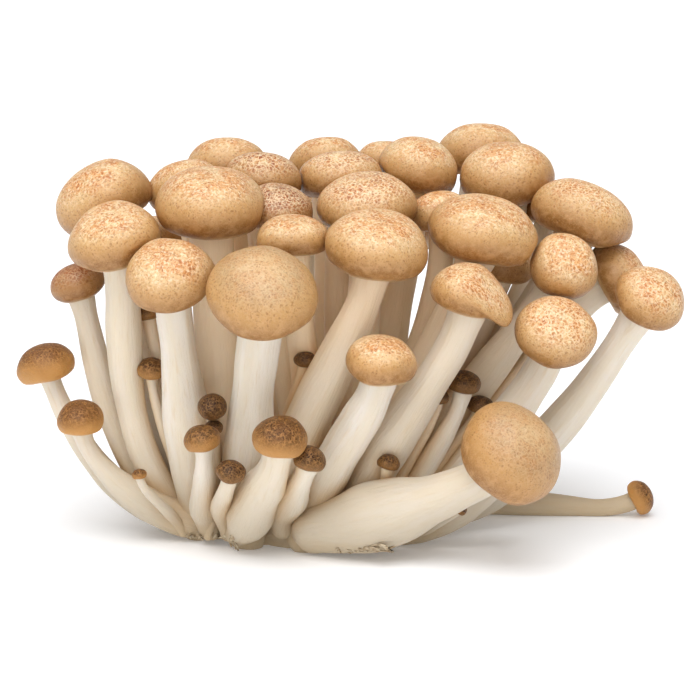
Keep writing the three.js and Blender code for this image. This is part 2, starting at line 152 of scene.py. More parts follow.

# Every mushroom: cap middle (right and up in the side view, back from the origin), cap radius,
# lean (tilt, compass direction), stem radii (at the cap, at the widest), then what it has besides.
# foot, out, tall, droop and young: as in the part's source. dark: how brown the cap is against its
# kind, with painted shade for caps in shadow. crackle: how strong the pattern on its crown is.
# warm: a browner stem.
MUSHROOMS = [
    ((-46.7, 67.1, 5), 10.1, (26, 190), (3.2, 4.4), {"foot": (-24, 2), "out": (-1, 0, 0.45)}),
    ((-44.4, 59.3, -13), 9.4, (18, 225), (3.4, 3), {"foot": (-27, -6), "out": (-1, 0, 0.7), "tall": 0.93}),
    ((-51.6, 49.8, 2), 5.5, (14, 190), (2.5, 2.8), {"foot": (-26, 0), "out": (-1, 0, -0.1), "dark": 0.6}),
    ((-33.1, 51.6, -25), 8.6, (30, 265), (3.4, 4.7), {"foot": (-27, -6)}),
    ((-24.8, 66, -8), 11.3, (8, 270), (4, 4.4), {"foot": (-23, -4), "tall": 0.88}),
    ((-29.8, 69.2, 9), 7.8, (12, 150), (3, 3.5), {}),
    ((-21.8, 73.6, 24), 8.1, (12, 110), (3, 3.5), {}),
    ((-14.4, 70.8, 10), 7.8, (8, 60), (3, 3.5), {"dark": 0.25, "crackle": 0.7}),
    ((-11.2, 64.6, -3), 7.1, (10, 330), (3, 3.4), {"dark": 0.4, "crackle": 0.9}),
    ((-8.4, 59.2, -16), 7.2, (4, 270), (3, 3.5), {"tall": 0.8, "dark": -0.2}),
    ((-14.4, 48.2, -34), 10.7, (32, 275), (4.1, 4.8), {"foot": (-17, -13), "tall": 0.92, "crackle": -0.35}),
    ((10, 74, 33), 6.4, (12, 90), (2.6, 3), {}),
    ((-1.8, 74, 29), 7.6, (12, 100), (3, 3.5), {"dark": 0.1}),
    ((1.2, 71, 14), 8.8, (8, 90), (3.2, 3.8), {"tall": 0.9, "crackle": 0.6}),
    ((16.9, 73.2, 17), 8.3, (10, 340), (3.2, 3.8), {}),
    ((6.4, 65.8, -1), 10.1, (6, 270), (3.4, 4), {"tall": 0.86, "crackle": 0.5}),
    ((20.8, 64, 4), 6.1, (8, 180), (2.6, 3), {}),
    ((8.5, 57.6, -19), 10.4, (14, 308), (3.6, 5), {"foot": (-15, -9), "tall": 0.86}),
    ((9.4, 34.3, -29), 7.1, (10, 325), (3.4, 4.2), {"foot": (-6, -16), "tall": 0.95, "dark": -0.25}),
    ((29.2, 75.9, 35), 9.1, (12, 70), (3.4, 4), {}),
    ((34.2, 71.6, 17), 9.7, (6, 210), (3.6, 4.2), {}),
    ((29.9, 60.6, -8), 10.9, (16, 330), (4, 4.5), {"foot": (8, -4), "tall": 0.86}),
    ((33.4, 54.6, 4), 6.8, (15, 330), (3, 3.5), {}),
    (
        (27.4, 48.4, -22), 8.1, (12, 320), (3.6, 4.6),
        {"foot": (2, -12), "tall": 0.84, "crackle": 0.3, "droop": (340, 0.55)},
    ),
    ((49.8, 63.6, 7), 10.2, (22, 15), (3.8, 4.4), {"tall": 0.95, "crackle": 0.35}),
    ((42.8, 64.4, 21), 5.6, (15, 60), (2.4, 3), {"dark": 0.5}),
    ((46.1, 53.2, -9), 6.7, (45, 290), (3.2, 3.8), {"foot": (13, -3), "tall": 1.25}),
    ((57.4, 50.6, 7), 7.8, (62, 0), (3, 3.6), {"foot": (15, 1)}),
    ((63.4, 47, -9), 7.4, (36, 320), (3.2, 4.4), {"foot": (19, 0), "out": (1, 0.1, 0.4), "crackle": 0.3}),
    ((44.5, 40.2, -18), 8, (36, 290), (3.3, 4.2), {"foot": (16, -5), "crackle": 0.3}),
    (
        (36.1, 15.9, -34), 10.5, (47, 320), (4, 6.6),
        {"foot": (-4, -19, 5), "out": (1, -0.25, 0.38), "tall": 1.05, "dark": 0.1, "crackle": -0.4},
    ),
    (
        (-58, 33.4, -1), 6.1, (17, 185), (1.9, 3),
        {"foot": (-27, 0), "out": (-1, 0, -0.05), "tall": 0.94, "young": 1, "dark": -0.35},
    ),
    (
        (-51, 22.6, -11), 4.7, (14, 250), (1.9, 3.7),
        {"foot": (-20, -6), "out": (-1, -0.1, 0.15), "young": 1, "dark": -0.3},
    ),
    ((-36.8, 32.4, -9), 3, (10, 270), (1, 1.4), {"foot": (-29, -6), "young": 1, "dark": 0.1}),
    ((-37.6, 43.8, -6), 2.7, (10, 200), (1.4, 1.8), {"foot": (-26, -3), "young": 1, "dark": 0.3}),
    (
        (-24.6, 24.8, -23), 2.8, (45, 270), (1.3, 1.6),
        {"foot": (-24, -12), "tall": 1.2, "young": 1, "dark": 0.4},
    ),
    ((-24.3, 20.6, -22), 1.9, (20, 270), (0.9, 1.2), {"foot": (-25, -13), "young": 1, "dark": 0.5}),
    ((-26.6, 18.4, -28), 3.7, (12, 225), (1.9, 2.6), {"foot": (-25, -11, 2.5), "young": 1, "dark": 0.1}),
    ((-20.8, 11.8, -32), 2.9, (20, 300), (1.5, 2.1), {"foot": (-21, -13, 2.5), "young": 1, "dark": 0.35}),
    ((-11, 18.8, -36), 5.3, (18, 290), (3, 4.8), {"foot": (-18.5, -14, 3.5), "young": 1}),
    ((-5, 14.4, -33), 3.3, (22, 320), (2.1, 3.4), {"foot": (-10, -15.5, 4.5), "young": 1, "dark": 0.4}),
    ((-39.2, 11.2, -18), 1.5, (10, 200), (0.8, 1.2), {"foot": (-30, -10), "young": 1}),
    ((-6, 34.2, -14), 2.2, (12, 300), (1.2, 2), {"foot": (-13, -3), "young": 1, "dark": 0.5}),
    ((25.9, 29.6, -12), 3.4, (8, 0), (1.8, 2.4), {"foot": (12, -8), "young": 1, "dark": 0.5}),
    ((20.6, 26.8, -13), 2.3, (10, 0), (1.2, 1.8), {"foot": (9, -9), "young": 1, "dark": 0.6}),
    ((29.2, 25, -7), 2.8, (15, 0), (1.3, 1.8), {"foot": (14, -6), "young": 1, "dark": 0.6}),
    ((10.8, 13.6, -21), 2.3, (15, 0), (1.2, 2), {"foot": (7, -13.5), "young": 1, "dark": 0.4}),
    (
        (25.2, 4.4, -22), 1.5, (50, 335), (0.9, 1.4),
        {"foot": (11, -12), "out": (1, -0.2, 0.15), "young": 1, "dark": 0.4},
    ),
    ((37, 12, -18), 4.4, (55, 340), (2.1, 3), {"foot": (13, -11.5), "out": (1, -0.1, 0.15), "young": 1}),
    (
        (61.2, 6.6, 12), 3.6, (64, 0), (1.7, 3.1),
        {"foot": (16, 13), "out": (1, 0.1, -0.02), "young": 1, "dark": -0.1, "warm": 2},
    ),
    ((-37, 58, 21), 7.6, (24, 130), (3, 3.6), {"foot": (-21, 10)}),
    ((-24, 57, 33), 8, (26, 110), (3.2, 3.8), {"foot": (-14, 14)}),
    ((-7, 62, 41), 8.4, (22, 95), (3.2, 3.8), {"foot": (-4, 16.5)}),
    ((13, 61, 46), 8.2, (24, 85), (3.2, 3.8), {"foot": (6, 16.5)}),
    ((33, 58, 46), 7.8, (28, 70), (3, 3.6), {"foot": (13, 13)}),
    ((46, 50, 27), 7, (34, 45), (3, 3.6), {"foot": (18, 8)}),
    ((-12, 36, 40), 4.6, (24, 100), (2, 2.6), {"young": 1}),
]

RIGHT = np.array([1.0, 0, 0])
AHEAD = np.array([0, math.cos(RISE), -math.sin(RISE)])
UPWARD = np.array([0, math.sin(RISE), math.cos(RISE)])
EYE = LOOK_RIGHT * RIGHT + LOOK_UP * UPWARD - DISTANCE * AHEAD


def unit(v):
    """Vectors of length one."""
    return v / np.linalg.norm(v, axis=-1, keepdims=True)


def smooth(x, low, high):
    """From 0 at low to 1 at high, without a kink."""
    t = np.clip((np.asarray(x, float) - low) / (high - low), 0, 1)
    return t * t * (3 - 2 * t)


def from_view(right, up, back):
    """The point that shows this far right and up in the side view, at this distance back."""
    shown = right * RIGHT + up * UPWARD
    return EYE + (back - EYE[1]) / (shown[1] - EYE[1]) * (shown - EYE)


def tilted(tilt, toward):
    """The direction tilted this far from upright towards a compass direction, in degrees."""
    tilt = math.radians(tilt)
    toward = math.radians(toward)
    return np.array([math.sin(tilt) * math.cos(toward), math.sin(tilt) * math.sin(toward), math.cos(tilt)])


def stem_radius(at_cap, widest, share):
    """A stem's radius at a share of its length."""
    narrowing = FOOT_NARROWING + (1 - FOOT_NARROWING) * smooth(share, 0, WAIST_AT)
    return (widest + (at_cap - widest) * smooth(share, WAIST_AT, SLIM_AT)) * narrowing


def bezier(points, t):
    """Points on a cubic curve."""
    a, b, c, d = points
    t = np.asarray(t)[:, None]
    return a * (1 - t) ** 3 + 3 * b * t * (1 - t) ** 2 + 3 * c * t * t * (1 - t) + d * t**3


def lengths(points):
    """How far along a line each of its points lies."""
    return np.concatenate([[0], np.cumsum(np.linalg.norm(np.diff(points, axis=0), axis=1))])


def evenly(points, count):
    """Points at even distances along a cubic curve."""
    table = np.linspace(0, 1, 201)
    along = lengths(bezier(points, table))
    return bezier(points, np.interp(np.linspace(0, along[-1], count), along, table))


class Mushroom:
    """A mushroom with its cap placed and the middle line of its stem drawn from foot to cap."""

    def __init__(self, number, cap, radius, lean, stem, extra):
        self.number = number
        self.r = radius
        self.stem = stem
        self.tall = extra.get("tall", 1)
        self.young = bool(extra.get("young"))
        self.dark = extra.get("dark", 0)
        self.warm = extra.get("warm", 0)
        self.crackle = extra.get("crackle", 0)
        self.droop = extra.get("droop")
        self.middle = from_view(*cap)
        self.axis = tilted(*lean)
        foot = extra.get("foot", (self.middle[0] * FOOT_SPREAD, self.middle[1] * FOOT_SPREAD))
        foot = np.array([foot[0], foot[1], foot[2] if len(foot) > 2 else FOOT_HEIGHT], float)
        end = self.middle + self.axis * (NECK_HEIGHT * self.tall - STEM_END) * self.r
        plain = (end - foot) * (OUTWARD, OUTWARD, 1)
        plain[2] = max(plain[2], 1)
        out = unit(np.array(extra.get("out", plain), float))
        length = np.linalg.norm(end - foot)
        pull = [foot + out * length * FOOT_PULL, end - self.axis * length * CAP_PULL]
        self.line = evenly([foot, *pull, end], STEM_STEPS + 1)
        self.radii = stem_radius(*stem, np.linspace(0, 1, STEM_STEPS + 1))


def make_room(mushrooms):
    """Bends the stems clear of one another and of other caps. Feet and caps stay."""
    drawn = np.array([m.line for m in mushrooms])
    radii = np.array([m.radii for m in mushrooms])
    middle = np.array([m.middle for m in mushrooms])
    axis = np.array([m.axis for m in mushrooms])
    size = np.array([m.r for m in mushrooms])
    high = CAP_RISE * size * [m.tall for m in mushrooms]
    count = len(mushrooms)
    own = np.repeat(np.arange(count), STEM_STEPS - 1)
    lines = drawn.copy()
    for _ in range(GROWTH_PASSES):
        points = lines[:, 1:-1].reshape(-1, 3)
        girth = radii[:, 1:-1].reshape(-1)
        start = lines[:, :-1]
        run = lines[:, 1:] - start
        offset = points[:, None, None] - start[None]
        share = np.clip((offset * run).sum(-1) / (run * run).sum(-1), 0, 1)
        away = offset - share[..., None] * run
        gap = np.linalg.norm(away, axis=-1)
        other = radii[:, :-1] + share * (radii[:, 1:] - radii[:, :-1])
        wanted = (girth[:, None, None] + other) * SNUG
        short = gap - wanted
        nearest = short.argmin(-1)[..., None]
        lack = np.take_along_axis(short, nearest, -1)[..., 0]
        way = np.take_along_axis(away, nearest[..., None], -2)[..., 0, :]
        move = unit(way + TINY) * np.where(lack < 0, -lack / 2, 0)[..., None]
        local = points[:, None] - middle
        rise = (local * axis).sum(-1)
        across = local - rise[..., None] * axis
        wide = size + girth[:, None]
        tall = high + girth[:, None]
        depth = np.hypot(np.linalg.norm(across, axis=-1) / wide, rise / tall)
        slope = across / wide[..., None] ** 2 + axis * (rise / tall**2)[..., None]
        step = np.where(depth < 1, np.minimum((1 - depth) * tall, MOST_FROM_CAP), 0)
        move = move + unit(slope + TINY) * step[..., None]
        move[np.arange(len(points)), own] = 0
        push = np.where(points[:, 2:] < ROOT_HEIGHT, 0, PUSH * move.sum(1))
        shift = lines - drawn
        shift[:, 1:-1] += push.reshape(count, -1, 3)
        between = (shift[:, :-2] + shift[:, 2:]) / 2
        shift[:, 1:-1] += EVENING * (between - shift[:, 1:-1])
        lines = drawn + shift
    lines[:, 1:-1, 2] = np.maximum(lines[:, 1:-1, 2], radii[:, 1:-1] * ABOVE_GROUND)
    for m, line in zip(mushrooms, lines):
        m.line = line


def between_knots(knots, slopes, k, t):
    """Points on smooth arcs that start at the knots k, at the shares t of the way to the next knots."""
    return (
        knots[k] * (2 * t**3 - 3 * t**2 + 1)
        + slopes[k] * (t**3 - 2 * t**2 + t)
        + knots[k + 1] * (3 * t**2 - 2 * t**3)
        + slopes[k + 1] * (t**3 - t**2)
    )


def trace(m, steps):
    """A smooth line through a stem's points, with a frame and the share of the length at each step."""
    slopes = np.gradient(m.line, axis=0)
    slopes[-1] = m.axis * np.linalg.norm(slopes[-1])
    place = STEM_STEPS * np.linspace(0, 1, steps) ** FOOT_CROWDING
    k = np.minimum(place.astype(int), STEM_STEPS - 1)
    points = between_knots(m.line, slopes, k, (place - k)[:, None])
    along = unit(np.gradient(points, axis=0))
    sides = []
    side = RIGHT
    for a in along:
        side = unit(side - a * (side @ a))
        sides.append(side)
    sides = np.array(sides)
    return points, along, sides, np.cross(along, sides), place / STEM_STEPS


# Meshes


def mesh_object(name, vertices, faces, soft=True):
    """A piece with this mesh, given in millimetres."""
    mesh = bpy.data.meshes.new(name)
    mesh.from_pydata((np.asarray(vertices) * MM).tolist(), [], [list(f) for f in faces])
    mesh.validate()
    mesh.update()
    if soft:
        mesh.shade_smooth()
    piece = bpy.data.objects.new(name, mesh)
    bpy.context.scene.collection.objects.link(piece)
    return piece


def rings_to_faces(rings, sides, flip=False):
    """Quads between rings of vertices, with a pole vertex before the first ring and one after the last."""
    faces = []
    nxt = [(j + 1) % sides for j in range(sides)]
    faces += [(0, 1 + j, 1 + nxt[j]) for j in range(sides)]
    for i in range(rings - 1):
        a = 1 + i * sides
        b = a + sides
        faces += [(a + j, b + j, b + nxt[j], a + nxt[j]) for j in range(sides)]
    last = 1 + rings * sides
    a = last - sides
    faces += [(last, a + nxt[j], a + j) for j in range(sides)]
    return [f[::-1] for f in faces] if flip else faces


def put(mesh, name, values, where="POINT"):
    """Stores numbers or vectors on a mesh's vertices, or on the corners of its faces."""
    values = np.asarray(values, np.float32)
    vector = values.ndim == 2
    attribute = mesh.attributes.new(name, "FLOAT_VECTOR" if vector else "FLOAT", where)
    attribute.data.foreach_set("vector" if vector else "value", values.ravel())


def curve_through(points, count):
    """A smooth outline through points, at even distances. It starts level."""
    points = np.array(points, float)
    slopes = np.gradient(points, axis=0)
    slopes[0] = (points[1, 0] * 1.2, 0)
    last = len(points) - 2
    shares = [np.linspace(0, 1, 24, endpoint=k == last)[:, None] for k in range(last + 1)]
    fine = np.concatenate([between_knots(points, slopes, k, t) for k, t in enumerate(shares)])
    along = lengths(fine)
    even = np.linspace(0, along[-1], count)
    return np.stack([np.interp(even, along, fine[:, c]) for c in (0, 1)], 1)


def body_matrix(m):
    """The shape of a cap's body, as an ellipsoid's matrix."""
    wide = m.r**2
    high = (CAP_RISE * m.r * m.tall) ** 2
    return wide * np.eye(3) + (high - wide) * np.outer(m.axis, m.axis)


def press(points, m, mushrooms):
    """Flattens a cap against its neighbours, and dents it round the stems that stand against it."""
    mine = body_matrix(m)
    for other in mushrooms:
        if other is m:
            continue
        theirs = body_matrix(other)
        apart = other.middle - m.middle
        normal = unit(np.linalg.solve(mine + theirs, apart))
        reach = math.sqrt(normal @ mine @ normal)
        beyond = math.sqrt(normal @ theirs @ normal)
        distance = apart @ normal
        if reach + beyond + PRESS_GAP < distance:
            continue
        level = m.middle @ normal + distance * reach / (reach + beyond) - PRESS_GAP / 2
        past = points @ normal - level
        eased = -PRESS_SOFTNESS * np.logaddexp(0, -past / PRESS_SOFTNESS)
        points = points + (eased - past)[:, None] * normal
    for other in mushrooms:
        if other is m:
            continue
        start = other.line[:-1]
        run = np.diff(other.line, axis=0)
        if np.linalg.norm(start + run / 2 - m.middle, axis=1).min() > m.r + STEM_NEAR:
            continue
        offset = points[:, None] - start
        share = np.clip((offset * run).sum(-1) / (run * run).sum(-1), 0, 1)
        away = offset - share[..., None] * run
        gap = np.linalg.norm(away, axis=-1)
        wall = other.radii[:-1] + share * np.diff(other.radii) + STEM_GAP
        lack = wall - gap
        worst = lack.argmax(1)
        rows = np.arange(len(points))
        depth = np.maximum(lack[rows, worst], 0)
        points = points + unit(away[rows, worst] + TINY) * depth[:, None]
    return points


def cap_piece(m, mushrooms, draw):
    """A cap: a slightly wavy bun with a rolled-in edge and gills, pressed against its neighbours."""
    sides, above = next(detail for radius, *detail in CAP_DETAIL if m.r > radius)
    outline = YOUNG_OUTLINE if m.young else CAP_OUTLINE
    top = curve_through(outline, above)[1:]
    neck = stem_radius(*m.stem, 1) * NECK_FIT / m.r
    lip = top[-1]
    under = []
    for t in GILL_PLACES:
        reach = lip[0] - LIP_ROLL + (neck - lip[0] + LIP_ROLL) * t
        under.append((reach, lip[1] + 0.03 + (NECK_HEIGHT - lip[1] + 0.02) * math.sin(t * math.pi / 2)))
    outline = np.vstack([top, under])
    rings = len(outline)
    angle = np.arange(sides) * 2 * math.pi / sides
    a, rho = np.meshgrid(angle, outline[:, 0])
    z = np.repeat(outline[:, 1:], sides, 1)
    is_under = np.arange(rings)[:, None] >= len(top)
    phase = draw.uniform(0, 2 * math.pi, 6)
    edge = smooth(rho, EDGE_FROM, 1)
    z = z + edge * sum(size * np.sin(count * a + phase[k]) for size, count, k in CAP_LIFTS)
    z = z + (1 - edge) * CAP_TILT * np.sin(a + phase[4]) * rho
    rho = rho * sum((size * np.cos(count * a + phase[k]) for size, count, k in CAP_SWELLS), 1)
    # Each second side stands down as a gill, and each second gill stops short of the stem.
    inner = smooth(rho, neck * GILL_ROOT[0], neck * GILL_ROOT[1])
    short = np.where(np.arange(sides) % 4 == 3, smooth(rho, *SHORT_GILL), 1)
    ridge = np.where(np.arange(sides) % 2 == 1, GILL_DOWN, GILL_UP) * is_under * short
    z = z + ridge * (0.35 + 0.65 * inner) * smooth(lip[0] - rho, *LIP_FADE)
    local = np.stack([rho * np.cos(a) * m.r, rho * np.sin(a) * m.r, z * m.r * m.tall], -1).reshape(-1, 3)
    crown = np.array([[0, 0, outline[0, 1] * m.r * m.tall + 0.004 * m.r]])
    root = np.array([[0, 0, (NECK_HEIGHT + 0.1) * m.r * m.tall]])
    local = np.vstack([crown, local, root])
    side = unit(np.cross([0.3, 1, 0.1], m.axis))
    basis = np.stack([side, np.cross(m.axis, side), m.axis])
    turned = local @ basis
    if m.droop:
        toward = math.radians(m.droop[0])
        reach = (turned[:, 0] * math.cos(toward) + turned[:, 1] * math.sin(toward)) / m.r
        start = DROOP_SPAN[0] - 0.5 * smooth(local[:, 2] / m.r, -0.4, 0.3)
        turned[:, 2] -= m.droop[1] * m.r * smooth(reach, start, DROOP_SPAN[1])
    placed = press(turned + m.middle, m, mushrooms)
    piece = mesh_object(f"mushroom_cap_{m.number:02d}", placed, rings_to_faces(rings, sides))
    apex = np.minimum(np.arange(rings) / (len(top) - 1), 1)
    put(piece.data, "apex", np.concatenate([[0], np.repeat(apex, sides), [1]]))
    put(piece.data, "gill", np.concatenate([[0], np.repeat(is_under.ravel(), sides), [1]]))
    put(piece.data, "skin", local + draw.uniform(-300, 300, 3))
    put(piece.data, "dark", np.full(len(local), m.dark + draw.uniform(-0.08, 0.08)))
    put(piece.data, "crackle", np.full(len(local), m.crackle))
    return piece


def stem_piece(m, draw):
    """One stem: a bent tube with flutes and slow swellings, rounded at its foot, closed inside the cap."""
    steps, sides = STEM_DETAIL[m.young]
    points, along, side, other, share = trace(m, steps)
    m.trace = (points, side, other, share)
    angle = np.arange(sides) * 2 * math.pi / sides
    phase = draw.uniform(0, 2 * math.pi, 5)
    girth = stem_radius(*m.stem, share)[:, None]
    s = share[:, None]
    flute = sum(size * np.sin(count * angle + phase[k] + twist * s) for size, count, k, twist in FLUTES)
    swell = sum(size * np.sin(count * s + phase[k]) for size, count, k in STEM_SWELLS)
    swell = swell + LOPSIDED * np.sin(angle + phase[1] + SPIRAL * s)
    flare = 1 + FLARE * smooth(s, SLIM_AT, 1)
    radius = girth * (1 + (flute + swell) * smooth(1 - s, 0, 0.08)) * flare
    rings = points[:, None] + radius[..., None] * (
        np.cos(angle)[:, None] * side[:, None] + np.sin(angle)[:, None] * other[:, None]
    )
    start = radius[0].mean()
    foot = []
    for sink, width in FOOT_RINGS:
        foot.append(points[0] - along[0] * sink * start + (rings[0] - points[0]) * width)
    end = rings[-1] + m.axis * STEM_TIP[0] * m.r
    body = np.concatenate([np.array(foot), rings, end[None]])
    poles = [points[0] - along[0] * start, points[-1] + m.axis * STEM_TIP[1] * m.r]
    vertices = np.vstack([poles[0], body.reshape(-1, 3), poles[1]])
    piece = mesh_object(f"stem_{m.number:02d}", vertices, rings_to_faces(len(body), sides, True))
    own(piece.data, m.number)
    return piece


def own(mesh, number):
    """Marks all faces of a mesh with a number."""
    mark = mesh.attributes.new("owner", "INT", "FACE")
    mark.data.foreach_set("value", np.full(len(mesh.polygons), number, np.int32))


def waves(points, seed, scale, count=7):
    """A slow random field from a few sines."""
    draw = np.random.default_rng(seed)
    total = np.zeros(len(points))
    for _ in range(count):
        way = unit(draw.normal(size=3)) * draw.uniform(0.6, 1.6) / scale
        total += np.sin(points @ way * 2 * math.pi + draw.uniform(0, 2 * math.pi))
    return total / count


def root_piece():
    """The lump that the feet grow out of."""
    outline = curve_through(ROOT_OUTLINE, 30)[1:-1]
    angle = np.arange(ROOT_SIDES) * 2 * math.pi / ROOT_SIDES
    lobe = sum((size * np.sin(count * angle + turn) for size, count, turn in ROOT_LOBES), 1)
    body = np.stack(
        [
            ROOT_RIGHT + outline[:, :1] * ROOT_WIDE * lobe * np.cos(angle),
            ROOT_BACK + outline[:, :1] * ROOT_DEEP * lobe * np.sin(angle),
            np.repeat(outline[:, 1:], ROOT_SIDES, 1),
        ],
        -1,
    ).reshape(-1, 3)
    lump = sum(waves(body, seed, length) * height for height, seed, length in ROOT_LUMPS)
    outward = unit(body - (ROOT_RIGHT, ROOT_BACK, 2))
    body = body + outward * lump[:, None]
    vertices = np.vstack([[ROOT_RIGHT, ROOT_BACK, -2], body, [ROOT_RIGHT, ROOT_BACK, ROOT_HEIGHT]])
    piece = mesh_object("root", vertices, rings_to_faces(len(outline), ROOT_SIDES, True))
    own(piece.data, 0)
    return piece


def boolean(piece, operation, **what):
    """Joins a piece with a collection, or keeps what it shares with an object."""
    cut = piece.modifiers.new("join", "BOOLEAN")
    cut.operation = operation
    cut.solver = "MANIFOLD"
    for key, value in what.items():
        setattr(cut, key, value)
    depsgraph = bpy.context.evaluated_depsgraph_get()
    mesh = bpy.data.meshes.new_from_object(piece.evaluated_get(depsgraph))
    piece.modifiers.clear()
    piece.data = mesh


def stems_piece(mushrooms, draw):
    """All stems and the root, fused, and cut flat where they stand."""
    bunch = bpy.data.collections.new("bunch")
    bpy.context.scene.collection.children.link(bunch)
    parts = [stem_piece(m, draw) for m in mushrooms]
    for part in parts:
        bpy.context.scene.collection.objects.unlink(part)
        bunch.objects.link(part)
    fused = root_piece()
    fused.name = "mushroom_stems"
    bpy.context.view_layer.update()
    boolean(fused, "UNION", operand_type="COLLECTION", collection=bunch)
    for part in parts:
        bpy.data.objects.remove(part)
    bpy.data.collections.remove(bunch)
    corners = [(x, y, z) for x in (-BLOCK, BLOCK) for y in (-BLOCK, BLOCK) for z in (0, BLOCK)]
    walls = [(0, 1, 3, 2), (4, 6, 7, 5), (0, 4, 5, 1), (2, 3, 7, 6), (0, 2, 6, 4), (1, 5, 7, 3)]
    block = mesh_object("block", corners, walls, False)
    bpy.context.view_layer.update()
    boolean(fused, "INTERSECT", operand_type="OBJECT", object=block)
    bpy.data.objects.remove(block)
    mark_stems(fused.data, mushrooms, draw)
    fused.data.shade_smooth()
    fused.data.set_sharp_from_angle(angle=math.radians(SHARP_ANGLE))
    return fused


def mark_stems(mesh, mushrooms, draw):
    """Stores what the skin needs to know of each place on the stems.

    fibre: where it lies across and along its stem. rise: how far up its stem it is. tone: a number
    for the stem. height: above the cut. crevice: how close two stems are to it. inside: from 0 at
    the outline of the bunch to 1 in its middle.
    """
    places = np.zeros(len(mesh.vertices) * 3, np.float32)
    mesh.vertices.foreach_get("co", places)
    places = places.reshape(-1, 3) / MM
    owner = np.zeros(len(mesh.polygons), np.int32)
    mesh.attributes["owner"].data.foreach_get("value", owner)
    corners = np.zeros(len(mesh.loops), np.int32)
    mesh.loops.foreach_get("vertex_index", corners)
    size = np.zeros(len(mesh.polygons), np.int32)
    mesh.polygons.foreach_get("loop_total", size)
    owner = np.repeat(owner, size)
    fibre = places[corners] * ROOT_GRAIN
    rise = np.zeros(len(corners))
    tone = np.zeros(len(corners))
    nearest = np.full((2, len(places)), CLEAR)
    for m in mushrooms:
        points, side, other, share = m.trace
        girth = stem_radius(*m.stem, share)
        past = m.r + PAST_STEM
        near = np.where(((places > points.min(0) - past) & (places < points.max(0) + past)).all(1))[0]
        gap = np.linalg.norm(places[near, None] - points, axis=-1)
        k = gap.argmin(1)
        clear = gap[np.arange(len(near)), k] - girth[k]
        nearest[:, near] = np.sort(np.vstack([nearest[:, near], clear]), axis=0)[:2]
        mine = np.where(owner == m.number)[0]
        offset = places[corners[mine], None] - points
        k = np.linalg.norm(offset, axis=-1).argmin(1)
        offset = offset[np.arange(len(mine)), k]
        length = np.linalg.norm(np.diff(points, axis=0), axis=1).sum()
        x = (offset * side[k]).sum(-1)
        y = (offset * other[k]).sum(-1)
        fibre[mine] = np.stack([x, y, share[k] * length * FIBRE_STRETCH], -1) + draw.uniform(-100, 100, 3)
        rise[mine] = share[k]
        tone[mine] = draw.uniform(-1, 1) + m.warm
    put(mesh, "fibre", fibre, "CORNER")
    put(mesh, "rise", rise, "CORNER")
    put(mesh, "tone", tone, "CORNER")
    put(mesh, "height", places[:, 2])
    put(mesh, "crevice_shade", 1 - smooth(nearest[1], *CREVICE))
    wide = np.interp(places[:, 2], BUNCH_LEVELS, BUNCH_WIDE)
    deep = np.interp(places[:, 2], BUNCH_LEVELS, BUNCH_DEEP)
    put(mesh, "inside", 1 - np.hypot((places[:, 0] - BUNCH_RIGHT) / wide, (places[:, 1] - BUNCH_BACK) / deep))


# Places at the foot with scraps of dry skin or crumbs: right and up in the side view, how far
# they scatter each way, how many, how large they are, and which way they lie, where they have one.
TORN_EDGE = ((-25, -2), (6.5, 1.5), 34, (0.8, 2.1), None)
DRY_FLAP = ((8.6, -3.6), (2.2, 0.7), 4, (2.6, 5), (0.85, 0.1, 0.5))
CRUMBS = ((3.4, -4.1), (3.2, 0.5), 14, (0.5, 1.1), None)
SCRAP_ROWS = 7
SCRAP_SIDES = 8
SCRAPS_UP_TO = 12  # none lies higher than this


def scrap(draw, where, normal, size, lie):
    """One torn flake: a thin, curled, ragged leaf with one end in the flesh."""
    along = np.cross(normal, draw.normal(size=3)) if lie is None else lie + 0.15 * draw.normal(size=3)
    along = unit(along - normal * (along @ normal))
    along = unit(along + normal * draw.uniform(0.1, 0.45) * (1 if lie is None else 0.4))
    across = unit(np.cross(along, normal))
    out = np.cross(across, along)
    t = np.linspace(0, 1, SCRAP_ROWS)[:, None]
    width = size**0.75 * (0.25 + 0.16 * draw.random((SCRAP_ROWS, 1)))
    width = width * np.sin(math.pi * (0.12 + 0.84 * t)) ** 0.6
    angle = np.arange(SCRAP_SIDES) * 2 * math.pi / SCRAP_SIDES
    curl = draw.uniform(-0.5, 0.9) * size * (t - 0.3) ** 2
    x = t * size - 0.3 * size + 0.06 * size * draw.normal(size=(SCRAP_ROWS, SCRAP_SIDES))
    y = width * np.cos(angle)
    z = 0.09 * np.sin(angle) * size**0.5 + curl + 0.25 * y**2 / size
    ring = x[..., None] * along + y[..., None] * across + z[..., None] * out
    ends = (-0.34 * size * along, 0.72 * size * along + curl[-1] * out)
    return where + np.vstack([ends[0], ring.reshape(-1, 3), ends[1]])


def scraps_piece(stems, draw):
    """Ragged skin and crumbs at the cut foot, each with one end in the flesh that carries it."""
    tree = BVHTree.FromPolygons(
        [v.co for v in stems.data.vertices], [tuple(f.vertices) for f in stems.data.polygons]
    )
    points = []
    faces = []
    for middle, spread, count, sizes, lie in (TORN_EDGE, DRY_FLAP, CRUMBS):
        for _ in range(count):
            right, up = np.array(middle) + np.array(spread) * draw.uniform(-1, 1, 2)
            way = unit(right * RIGHT + up * UPWARD - EYE)
            hit, normal, _, _ = tree.ray_cast(Vector(EYE * MM), Vector(way))
            if hit is None or hit.z > SCRAPS_UP_TO * MM:
                continue
            leaf = scrap(draw, np.array(hit) / MM, np.array(normal), draw.uniform(*sizes), lie)
            leaf[:, 2] = np.maximum(leaf[:, 2], 0.02 + 0.1 * draw.random(len(leaf)))
            faces += [[k + len(points) for k in f] for f in rings_to_faces(SCRAP_ROWS, SCRAP_SIDES)]
            points += leaf.tolist()
    return mesh_object("foot_scraps", points, faces)


# Materials

